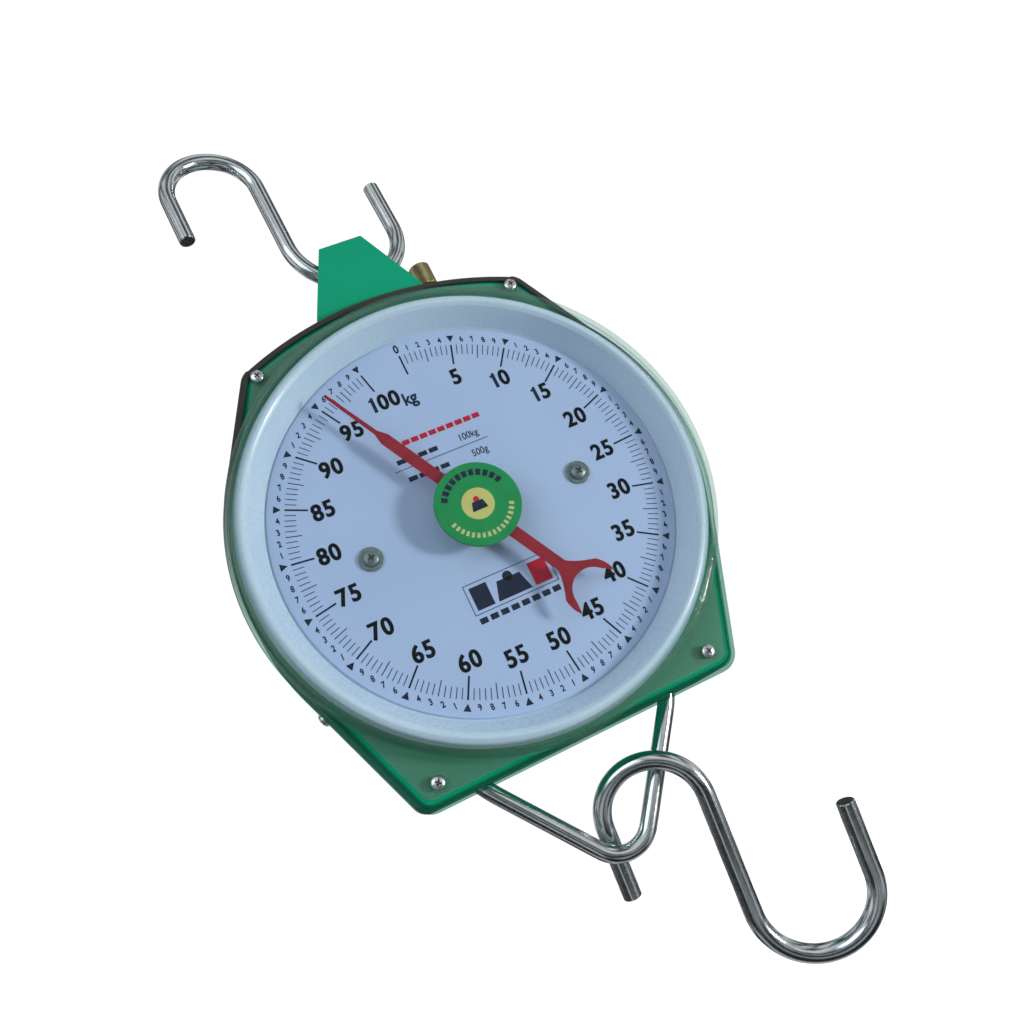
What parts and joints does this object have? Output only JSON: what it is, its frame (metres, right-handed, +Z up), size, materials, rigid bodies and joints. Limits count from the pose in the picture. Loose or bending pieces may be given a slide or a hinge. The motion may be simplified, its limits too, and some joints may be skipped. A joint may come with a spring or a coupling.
{
  "type": "hanging dial spring scale",
  "caption": "Hanging spring scale with a round dial under a clear cover, S-hooks above and below, a load bail, and a spring and rack movement that turns the pointer.",
  "frame": {"origin": "hang point: the inner crown of the top hook's upper bowl", "axes": "+Z up, the dial faces -Y, +X to the right when the dial is read"},
  "size_m": [0.251, 0.0634, 0.5402],
  "materials": {
    "green_paint": "glossy dark green enamel",
    "clear_acrylic": "clear, polished",
    "white_enamel": "satin white enamel",
    "dial_paper": "matt white printed sheet",
    "red_paint": "satin dark red",
    "hub_badge": "printed green disc with a yellow centre",
    "chrome": "polished",
    "zinc": "zinc plated",
    "steel": "turned",
    "spring_steel": "oiled",
    "brass": "machined",
    "bimetal": "rolled strip"
  },
  "bodies": {
    "top_hook": {"top_hook": "chrome"},
    "housing": {"case_shell": "green_paint", "rear_cover": "green_paint", "hanger_bracket": "green_paint", "clear_cover": "clear_acrylic", "dial_pan": "white_enamel", "dial_plate": "dial_paper", "side_screw_1": "zinc", "side_screw_2": "zinc", "side_screw_3": "zinc", "side_screw_4": "zinc", "cover_screw_1": "zinc", "cover_screw_2": "zinc", "cover_screw_3": "zinc", "cover_screw_4": "zinc", "dial_screw_1": "zinc", "dial_screw_2": "zinc", "bracket_bolt_1": "zinc", "bracket_bolt_2": "zinc", "bracket_bolt_3": "zinc", "bracket_bolt_4": "zinc", "chassis_plate": "zinc", "bearing_bridge": "zinc", "bridge_screw_1": "zinc", "bridge_screw_2": "zinc", "dial_washer_1": "zinc", "dial_washer_2": "zinc", "suspension_pin": "steel", "upper_yoke": "steel", "upper_plug_left": "steel", "upper_plug_right": "steel", "roller_pin": "steel", "knob_bush": "steel", "spring_left": "spring_steel", "spring_right": "spring_steel", "front_bush": "brass", "rear_bush": "brass", "bimetal_strip": "bimetal"},
    "carriage": {"lower_yoke": "steel", "rack": "brass", "bail": "chrome", "bail_nut_left": "zinc", "bail_nut_right": "zinc", "lower_plug_left": "steel", "lower_plug_right": "steel"},
    "pointer_arbor": {"pointer": "red_paint", "hub_cap": "hub_badge", "pointer_shaft": "steel", "pinion": "brass"},
    "zero_knob": {"zero_knob": "brass", "zero_screw": "steel"},
    "zero_nut": {"zero_nut": "brass"},
    "rack_roller": {"rack_roller": "brass"},
    "load_hook": {"load_hook": "chrome"}
  },
  "joints": [
    {"name": "housing_swing", "type": "hinge", "parent": "top_hook", "child": "housing", "pos_m": [0.05811, 0.00759, -0.06617], "axis": [0, 1, 0], "range_deg": [-60, 45]},
    {"name": "load_slide", "type": "slide", "parent": "housing", "child": "carriage", "axis": [0, 0, -1], "range_m": [0, 0.0314], "stiffness_N_per_m": 33900, "deforming": ["spring_left", "spring_right"]},
    {"name": "pointer_turn", "type": "hinge", "parent": "housing", "child": "pointer_arbor", "pos_m": [0.05241, 0, -0.25577], "axis": [0, 1, 0], "range_deg": [0, 375]},
    {"name": "rack_roller_turn", "type": "hinge", "parent": "housing", "child": "rack_roller", "pos_m": [0.06851, 0, -0.25177], "axis": [0, 1, 0], "range_deg": [-410, 0]},
    {"name": "zero_knob_turn", "type": "hinge", "parent": "housing", "child": "zero_knob", "pos_m": [0.08801, -0.00241, 0], "axis": [0, 0, 1], "range_deg": [-360, 360]},
    {"name": "zero_nut_slide", "type": "slide", "parent": "housing", "child": "zero_nut", "axis": [0, 0, 1], "range_m": [-0.0008, 0.0008]},
    {"name": "load_hook_swing", "type": "hinge", "parent": "carriage", "child": "load_hook", "pos_m": [0.07215, 0.00691, -0.42797], "axis": [0.3427, 0.8976, 0.2773], "range_deg": [-40, 60]}
  ],
  "couplings": [
    {"joint": "pointer_turn", "follows": "load_slide", "rad_per_m": 208.33},
    {"joint": "rack_roller_turn", "follows": "load_slide", "rad_per_m": -227.27},
    {"joint": "zero_knob_turn", "follows": "zero_nut_slide", "rad_per_m": 7854}
  ]
}
